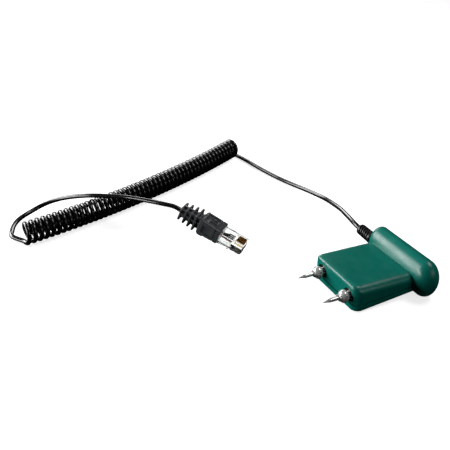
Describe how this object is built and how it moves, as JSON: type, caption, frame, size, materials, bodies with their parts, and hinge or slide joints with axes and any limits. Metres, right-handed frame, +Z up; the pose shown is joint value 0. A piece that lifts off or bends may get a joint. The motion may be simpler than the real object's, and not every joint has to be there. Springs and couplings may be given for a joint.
{
  "type": "soil moisture probe",
  "caption": "Handheld soil moisture probe: T-shaped green head with two screwed pins, a long coiled lead and a latching modular plug.",
  "frame": {"origin": "on the ground plane, below the centre of the head's box (head with its pins and strain relief, without the cord and plug)", "axes": "+X along the grip bar away from the strain relief, -Y the way the pins point, +Z up out of the head's top face"},
  "size_m": [0.2316, 0.2068, 0.0252],
  "materials": {
    "moulded_green": "satin moulded plastic with a fine grain",
    "black_rubber": "matte flexible rubber",
    "boot_grey": "satin dark grey moulded PVC",
    "cord_black": "glossy polyurethane jacket",
    "steel": "ground stainless steel",
    "dark_steel": "dark oxidised steel",
    "chrome": "polished chrome plate",
    "brass": "machined brass",
    "gold": "gold flash over bronze",
    "clear_plastic": "clear polycarbonate",
    "board": "green solder mask",
    "chip": "black moulding compound",
    "ceramic": "pale ceramic",
    "cream_nylon": "natural nylon",
    "wire_red": "red wire insulation",
    "wire_black": "black wire insulation",
    "wire_green": "green wire insulation",
    "wire_yellow": "yellow wire insulation"
  },
  "bodies": {
    "probe": {"top_shell": "moulded_green", "bottom_shell": "moulded_green", "lock_washer_left": "dark_steel", "pin_socket_left": "brass", "resistor_left": "ceramic", "housing_screw_left": "steel", "lock_washer_right": "dark_steel", "pin_socket_right": "brass", "resistor_right": "ceramic", "housing_screw_right": "steel", "probe_wire_left": "wire_red", "probe_wire_right": "wire_black", "housing_screw_front": "steel", "strain_relief": "black_rubber", "cord_end": "cord_black", "cord_ferrule": "brass", "circuit_board": "board", "sensing_chip": "chip", "timing_capacitor": "chip", "cord_header": "cream_nylon", "head_lead": "cord_black", "coiled_cord": "cord_black", "plug_lead": "cord_black", "plug_boot": "boot_grey", "plug_body": "clear_plastic", "plug_cord_end": "cord_black", "plug_contact_1": "gold", "plug_contact_2": "gold", "plug_contact_3": "gold", "plug_contact_4": "gold", "plug_contact_5": "gold", "plug_contact_6": "gold", "plug_contact_7": "gold", "plug_contact_8": "gold", "plug_wire_1": "wire_red", "cord_wire_1": "wire_red", "plug_wire_2": "wire_black", "cord_wire_2": "wire_black", "plug_wire_3": "wire_green", "cord_wire_3": "wire_green", "plug_wire_4": "wire_yellow", "cord_wire_4": "wire_yellow"},
    "pin_left": {"pin_left": "steel"},
    "pin_nut_left": {"pin_nut_left": "chrome"},
    "pin_right": {"pin_right": "steel"},
    "pin_nut_right": {"pin_nut_right": "chrome"},
    "plug_latch": {"plug_latch": "clear_plastic"}
  },
  "joints": [
    {"name": "pin_left_slide", "type": "slide", "parent": "probe", "child": "pin_left", "axis": [0, -1, 0], "range_m": [0, 0.0018]},
    {"name": "pin_nut_left_turn", "type": "hinge", "parent": "pin_left", "child": "pin_nut_left", "pos_m": [-0.01195, -0.02025, 0.00815], "axis": [0, -1, 0], "range_deg": [0, 1300]},
    {"name": "pin_right_slide", "type": "slide", "parent": "probe", "child": "pin_right", "axis": [0, -1, 0], "range_m": [0, 0.0018]},
    {"name": "pin_nut_right_turn", "type": "hinge", "parent": "pin_right", "child": "pin_nut_right", "pos_m": [0.01345, -0.02025, 0.00815], "axis": [0, -1, 0], "range_deg": [0, 1300]},
    {"name": "plug_latch_press", "type": "hinge", "parent": "probe", "child": "plug_latch", "pos_m": [-0.06062, -0.04539, 0.00113], "axis": [-0.6741, 0.7341, -0.0816], "range_deg": [0, 3.3], "stiffness_Nm_per_rad": 0.02}
  ],
  "couplings": [
    {"joint": "pin_nut_left_turn", "follows": "pin_left_slide", "rad_per_m": 12566},
    {"joint": "pin_nut_right_turn", "follows": "pin_right_slide", "rad_per_m": 12566}
  ]
}
